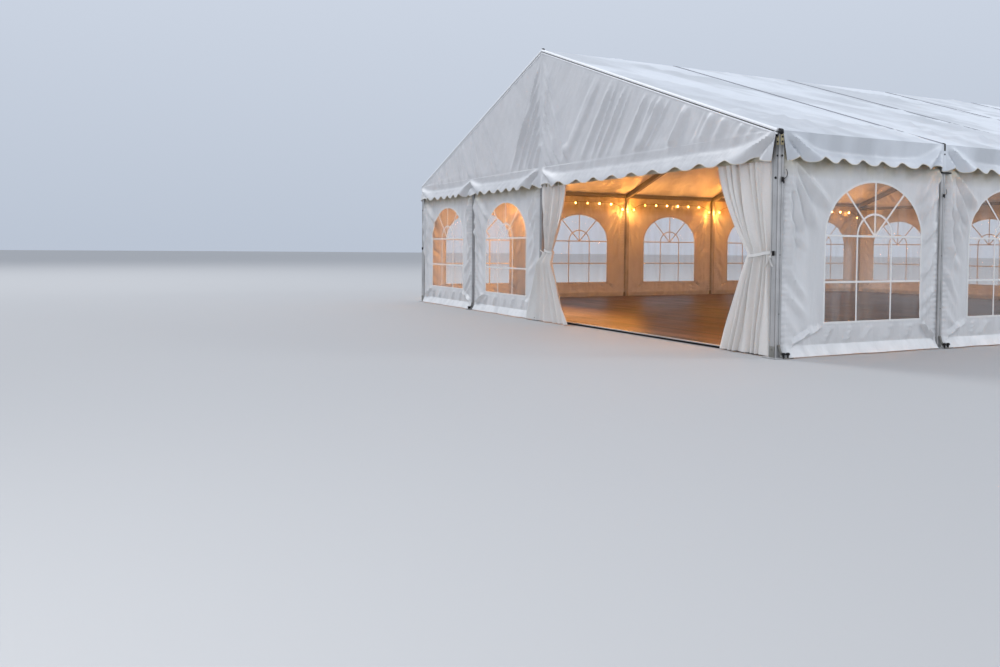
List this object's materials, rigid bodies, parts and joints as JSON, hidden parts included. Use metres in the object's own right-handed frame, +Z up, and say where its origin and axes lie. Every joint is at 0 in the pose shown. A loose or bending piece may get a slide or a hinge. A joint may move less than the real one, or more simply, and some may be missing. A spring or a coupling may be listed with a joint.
{
  "type": "frame marquee tent",
  "caption": "White frame marquee with a pitched roof, scalloped valance, arched clear windows, a boarded floor and a curtained entrance bay.",
  "frame": {"origin": "on the ground under the middle of the tent", "axes": "+Z up; +Y from the entrance gable to the rear gable, along the ridge; +X to the right of someone who looks in from the entrance"},
  "size_m": [12.11, 15.24, 4.9535],
  "materials": {
    "frame_metal": "satin, weathered",
    "roof_fabric": "coated cloth, damp",
    "gable_fabric": "coated cloth",
    "wall_fabric": "coated cloth",
    "window_film": "clear film",
    "curtain_cloth": "matte",
    "floor_boards": "oiled boards, damp at the door",
    "lamps": "warm lit lamps"
  },
  "bodies": {
    "root": {"frame_1": "frame_metal", "frame_2": "frame_metal", "frame_3": "frame_metal", "frame_4": "frame_metal", "frame_5": "frame_metal", "frame_6": "frame_metal", "ridge_purlin": "frame_metal", "mid_purlin_left": "frame_metal", "mid_purlin_right": "frame_metal", "eave_purlin_left": "frame_metal", "eave_purlin_right": "frame_metal", "gable_posts_front": "frame_metal", "gable_posts_rear": "frame_metal", "roof_cover_1": "roof_fabric", "roof_cover_2": "roof_fabric", "roof_cover_3": "roof_fabric", "roof_cover_4": "roof_fabric", "roof_cover_5": "roof_fabric", "gable_cover_front": "gable_fabric", "gable_cover_rear": "gable_fabric", "wall_right_1": "wall_fabric", "wall_right_2": "wall_fabric", "wall_right_3": "wall_fabric", "wall_right_4": "wall_fabric", "wall_right_5": "wall_fabric", "wall_left_1": "wall_fabric", "wall_left_2": "wall_fabric", "wall_left_3": "wall_fabric", "wall_left_4": "wall_fabric", "wall_left_5": "wall_fabric", "wall_front_1": "wall_fabric", "wall_front_2": "wall_fabric", "wall_rear_1": "wall_fabric", "wall_rear_2": "wall_fabric", "wall_rear_3": "wall_fabric", "wall_rear_4": "wall_fabric", "window_right_1": "window_film", "window_right_2": "window_film", "window_right_3": "window_film", "window_right_4": "window_film", "window_right_5": "window_film", "window_left_1": "window_film", "window_left_2": "window_film", "window_left_3": "window_film", "window_left_4": "window_film", "window_left_5": "window_film", "window_front_1": "window_film", "window_front_2": "window_film", "window_rear_1": "window_film", "window_rear_2": "window_film", "window_rear_3": "window_film", "window_rear_4": "window_film", "curtain_left": "curtain_cloth", "curtain_right": "curtain_cloth", "floor_deck": "floor_boards", "light_string_left": "lamps", "light_string_right": "lamps"}
  },
  "joints": []
}
